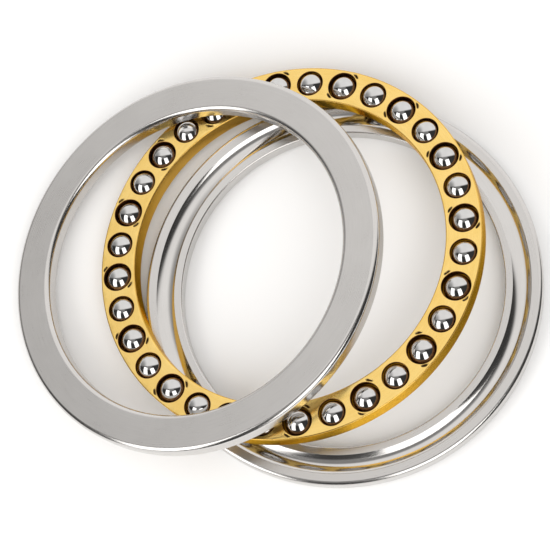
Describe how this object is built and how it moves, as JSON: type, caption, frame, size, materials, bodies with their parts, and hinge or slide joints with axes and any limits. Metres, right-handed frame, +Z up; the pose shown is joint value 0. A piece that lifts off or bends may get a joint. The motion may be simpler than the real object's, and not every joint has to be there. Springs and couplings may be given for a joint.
{
  "type": "thrust ball bearing",
  "caption": "Single-direction thrust ball bearing taken apart: flat housing washer, machined brass cage with its balls leaning on it, and shaft washer on top.",
  "frame": {"origin": "centre of the laid-out bearing's plan box, on the bench top that it lies on", "axes": "+Z up from the bench top, along the flat housing washer's own axis; -X towards the low edge of the leaning shaft washer"},
  "size_m": [0.335, 0.269, 0.0655],
  "materials": {
    "washer_steel": "ground bearing steel with turned walls and a polished raceway",
    "cage_brass": "machined brass, faces lapped, bore and rim turned",
    "ball_steel": "mirror-polished bearing steel"
  },
  "bodies": {
    "housing_washer": {"housing_washer": "washer_steel"},
    "shaft_washer": {"shaft_washer": "washer_steel"},
    "cage": {"cage": "cage_brass"},
    "ball_01": {"ball_01": "ball_steel"},
    "ball_02": {"ball_02": "ball_steel"},
    "ball_03": {"ball_03": "ball_steel"},
    "ball_04": {"ball_04": "ball_steel"},
    "ball_05": {"ball_05": "ball_steel"},
    "ball_06": {"ball_06": "ball_steel"},
    "ball_07": {"ball_07": "ball_steel"},
    "ball_08": {"ball_08": "ball_steel"},
    "ball_09": {"ball_09": "ball_steel"},
    "ball_10": {"ball_10": "ball_steel"},
    "ball_11": {"ball_11": "ball_steel"},
    "ball_12": {"ball_12": "ball_steel"},
    "ball_13": {"ball_13": "ball_steel"},
    "ball_14": {"ball_14": "ball_steel"},
    "ball_15": {"ball_15": "ball_steel"},
    "ball_16": {"ball_16": "ball_steel"},
    "ball_17": {"ball_17": "ball_steel"},
    "ball_18": {"ball_18": "ball_steel"},
    "ball_19": {"ball_19": "ball_steel"},
    "ball_20": {"ball_20": "ball_steel"},
    "ball_21": {"ball_21": "ball_steel"},
    "ball_22": {"ball_22": "ball_steel"},
    "ball_23": {"ball_23": "ball_steel"},
    "ball_24": {"ball_24": "ball_steel"},
    "ball_25": {"ball_25": "ball_steel"},
    "ball_26": {"ball_26": "ball_steel"},
    "ball_27": {"ball_27": "ball_steel"},
    "ball_28": {"ball_28": "ball_steel"},
    "ball_29": {"ball_29": "ball_steel"},
    "ball_30": {"ball_30": "ball_steel"},
    "ball_31": {"ball_31": "ball_steel"},
    "ball_32": {"ball_32": "ball_steel"}
  },
  "joints": [
    {"name": "shaft_washer_spin", "type": "hinge", "parent": "housing_washer", "child": "shaft_washer", "pos_m": [-0.04721, 0.00675, 0.03863], "axis": [-0.21, 0.0707, 0.9751], "continuous": true},
    {"name": "cage_spin", "type": "hinge", "parent": "housing_washer", "child": "cage", "pos_m": [0.01249, 0.01135, 0.02503], "axis": [-0.1173, 0.0812, 0.9898], "continuous": true},
    {"name": "ball_01_roll", "type": "hinge", "parent": "cage", "child": "ball_01", "pos_m": [0.12369, 0.01949, 0.03754], "axis": [0.9911, 0.0726, 0.1115], "continuous": true},
    {"name": "ball_02_roll", "type": "hinge", "parent": "cage", "child": "ball_02", "pos_m": [0.12018, 0.04109, 0.03535], "axis": [0.9598, 0.2651, 0.092], "continuous": true},
    {"name": "ball_03_roll", "type": "hinge", "parent": "cage", "child": "ball_03", "pos_m": [0.11253, 0.06155, 0.03277], "axis": [0.8916, 0.4474, 0.0689], "continuous": true},
    {"name": "ball_04_roll", "type": "hinge", "parent": "cage", "child": "ball_04", "pos_m": [0.10104, 0.08008, 0.02989], "axis": [0.7892, 0.6126, 0.0432], "continuous": true},
    {"name": "ball_05_roll", "type": "hinge", "parent": "cage", "child": "ball_05", "pos_m": [0.08614, 0.09597, 0.02682], "axis": [0.6564, 0.7542, 0.0159], "continuous": true},
    {"name": "ball_06_roll", "type": "hinge", "parent": "cage", "child": "ball_06", "pos_m": [0.06842, 0.10861, 0.02368], "axis": [0.4984, 0.8668, -0.0121], "continuous": true},
    {"name": "ball_07_roll", "type": "hinge", "parent": "cage", "child": "ball_07", "pos_m": [0.04854, 0.11751, 0.0206], "axis": [0.3213, 0.9462, -0.0396], "continuous": true},
    {"name": "ball_08_roll", "type": "hinge", "parent": "cage", "child": "ball_08", "pos_m": [0.02728, 0.12232, 0.01768], "axis": [0.1318, 0.9891, -0.0655], "continuous": true},
    {"name": "ball_09_roll", "type": "hinge", "parent": "cage", "child": "ball_09", "pos_m": [0.00545, 0.12288, 0.01505], "axis": [-0.0628, 0.9941, -0.089], "continuous": true},
    {"name": "ball_10_roll", "type": "hinge", "parent": "cage", "child": "ball_10", "pos_m": [-0.01611, 0.11915, 0.0128], "axis": [-0.2549, 0.9608, -0.109], "continuous": true},
    {"name": "ball_11_roll", "type": "hinge", "parent": "cage", "child": "ball_11", "pos_m": [-0.03657, 0.11127, 0.01102], "axis": [-0.4373, 0.8906, -0.1249], "continuous": true},
    {"name": "ball_12_roll", "type": "hinge", "parent": "cage", "child": "ball_12", "pos_m": [-0.05515, 0.09956, 0.00978], "axis": [-0.6028, 0.7862, -0.1359], "continuous": true},
    {"name": "ball_13_roll", "type": "hinge", "parent": "cage", "child": "ball_13", "pos_m": [-0.07112, 0.08446, 0.00913], "axis": [-0.7452, 0.6516, -0.1417], "continuous": true},
    {"name": "ball_14_roll", "type": "hinge", "parent": "cage", "child": "ball_14", "pos_m": [-0.08388, 0.06654, 0.00909], "axis": [-0.859, 0.4919, -0.1421], "continuous": true},
    {"name": "ball_15_roll", "type": "hinge", "parent": "cage", "child": "ball_15", "pos_m": [-0.09294, 0.04651, 0.00966], "axis": [-0.9397, 0.3134, -0.137], "continuous": true},
    {"name": "ball_16_roll", "type": "hinge", "parent": "cage", "child": "ball_16", "pos_m": [-0.09795, 0.02512, 0.01082], "axis": [-0.9843, 0.1228, -0.1267], "continuous": true},
    {"name": "ball_17_roll", "type": "hinge", "parent": "cage", "child": "ball_17", "pos_m": [-0.09871, 0.00321, 0.01253], "axis": [-0.9911, -0.0726, -0.1115], "continuous": true},
    {"name": "ball_18_roll", "type": "hinge", "parent": "cage", "child": "ball_18", "pos_m": [-0.0952, -0.0184, 0.01472], "axis": [-0.9598, -0.2651, -0.092], "continuous": true},
    {"name": "ball_19_roll", "type": "hinge", "parent": "cage", "child": "ball_19", "pos_m": [-0.08755, -0.03886, 0.0173], "axis": [-0.8916, -0.4474, -0.0689], "continuous": true},
    {"name": "ball_20_roll", "type": "hinge", "parent": "cage", "child": "ball_20", "pos_m": [-0.07606, -0.05739, 0.02018], "axis": [-0.7892, -0.6126, -0.0432], "continuous": true},
    {"name": "ball_21_roll", "type": "hinge", "parent": "cage", "child": "ball_21", "pos_m": [-0.06116, -0.07328, 0.02325], "axis": [-0.6564, -0.7542, -0.0159], "continuous": true},
    {"name": "ball_22_roll", "type": "hinge", "parent": "cage", "child": "ball_22", "pos_m": [-0.04343, -0.08591, 0.02639], "axis": [-0.4984, -0.8668, 0.0121], "continuous": true},
    {"name": "ball_23_roll", "type": "hinge", "parent": "cage", "child": "ball_23", "pos_m": [-0.02356, -0.09481, 0.02947], "axis": [-0.3213, -0.9462, 0.0396], "continuous": true},
    {"name": "ball_24_roll", "type": "hinge", "parent": "cage", "child": "ball_24", "pos_m": [-0.0023, -0.09963, 0.03239], "axis": [-0.1318, -0.9891, 0.0655], "continuous": true},
    {"name": "ball_25_roll", "type": "hinge", "parent": "cage", "child": "ball_25", "pos_m": [0.01953, -0.10019, 0.03502], "axis": [0.0628, -0.9941, 0.089], "continuous": true},
    {"name": "ball_26_roll", "type": "hinge", "parent": "cage", "child": "ball_26", "pos_m": [0.04109, -0.09645, 0.03727], "axis": [0.2549, -0.9608, 0.109], "continuous": true},
    {"name": "ball_27_roll", "type": "hinge", "parent": "cage", "child": "ball_27", "pos_m": [0.06155, -0.08858, 0.03904], "axis": [0.4373, -0.8906, 0.1249], "continuous": true},
    {"name": "ball_28_roll", "type": "hinge", "parent": "cage", "child": "ball_28", "pos_m": [0.08013, -0.07687, 0.04028], "axis": [0.6028, -0.7862, 0.1359], "continuous": true},
    {"name": "ball_29_roll", "type": "hinge", "parent": "cage", "child": "ball_29", "pos_m": [0.0961, -0.06176, 0.04094], "axis": [0.7452, -0.6516, 0.1417], "continuous": true},
    {"name": "ball_30_roll", "type": "hinge", "parent": "cage", "child": "ball_30", "pos_m": [0.10887, -0.04385, 0.04098], "axis": [0.859, -0.4919, 0.1421], "continuous": true},
    {"name": "ball_31_roll", "type": "hinge", "parent": "cage", "child": "ball_31", "pos_m": [0.11792, -0.02381, 0.04041], "axis": [0.9397, -0.3134, 0.137], "continuous": true},
    {"name": "ball_32_roll", "type": "hinge", "parent": "cage", "child": "ball_32", "pos_m": [0.12293, -0.00243, 0.03925], "axis": [0.9843, -0.1228, 0.1267], "continuous": true}
  ],
  "couplings": [
    {"joint": "cage_spin", "follows": "shaft_washer_spin", "ratio": 0.5},
    {"joint": "ball_01_roll", "follows": "shaft_washer_spin", "ratio": -6.4254},
    {"joint": "ball_02_roll", "follows": "shaft_washer_spin", "ratio": -6.4254},
    {"joint": "ball_03_roll", "follows": "shaft_washer_spin", "ratio": -6.4254},
    {"joint": "ball_04_roll", "follows": "shaft_washer_spin", "ratio": -6.4254},
    {"joint": "ball_05_roll", "follows": "shaft_washer_spin", "ratio": -6.4254},
    {"joint": "ball_06_roll", "follows": "shaft_washer_spin", "ratio": -6.4254},
    {"joint": "ball_07_roll", "follows": "shaft_washer_spin", "ratio": -6.4254},
    {"joint": "ball_08_roll", "follows": "shaft_washer_spin", "ratio": -6.4254},
    {"joint": "ball_09_roll", "follows": "shaft_washer_spin", "ratio": -6.4254},
    {"joint": "ball_10_roll", "follows": "shaft_washer_spin", "ratio": -6.4254},
    {"joint": "ball_11_roll", "follows": "shaft_washer_spin", "ratio": -6.4254},
    {"joint": "ball_12_roll", "follows": "shaft_washer_spin", "ratio": -6.4254},
    {"joint": "ball_13_roll", "follows": "shaft_washer_spin", "ratio": -6.4254},
    {"joint": "ball_14_roll", "follows": "shaft_washer_spin", "ratio": -6.4254},
    {"joint": "ball_15_roll", "follows": "shaft_washer_spin", "ratio": -6.4254},
    {"joint": "ball_16_roll", "follows": "shaft_washer_spin", "ratio": -6.4254},
    {"joint": "ball_17_roll", "follows": "shaft_washer_spin", "ratio": -6.4254},
    {"joint": "ball_18_roll", "follows": "shaft_washer_spin", "ratio": -6.4254},
    {"joint": "ball_19_roll", "follows": "shaft_washer_spin", "ratio": -6.4254},
    {"joint": "ball_20_roll", "follows": "shaft_washer_spin", "ratio": -6.4254},
    {"joint": "ball_21_roll", "follows": "shaft_washer_spin", "ratio": -6.4254},
    {"joint": "ball_22_roll", "follows": "shaft_washer_spin", "ratio": -6.4254},
    {"joint": "ball_23_roll", "follows": "shaft_washer_spin", "ratio": -6.4254},
    {"joint": "ball_24_roll", "follows": "shaft_washer_spin", "ratio": -6.4254},
    {"joint": "ball_25_roll", "follows": "shaft_washer_spin", "ratio": -6.4254},
    {"joint": "ball_26_roll", "follows": "shaft_washer_spin", "ratio": -6.4254},
    {"joint": "ball_27_roll", "follows": "shaft_washer_spin", "ratio": -6.4254},
    {"joint": "ball_28_roll", "follows": "shaft_washer_spin", "ratio": -6.4254},
    {"joint": "ball_29_roll", "follows": "shaft_washer_spin", "ratio": -6.4254},
    {"joint": "ball_30_roll", "follows": "shaft_washer_spin", "ratio": -6.4254},
    {"joint": "ball_31_roll", "follows": "shaft_washer_spin", "ratio": -6.4254},
    {"joint": "ball_32_roll", "follows": "shaft_washer_spin", "ratio": -6.4254}
  ]
}
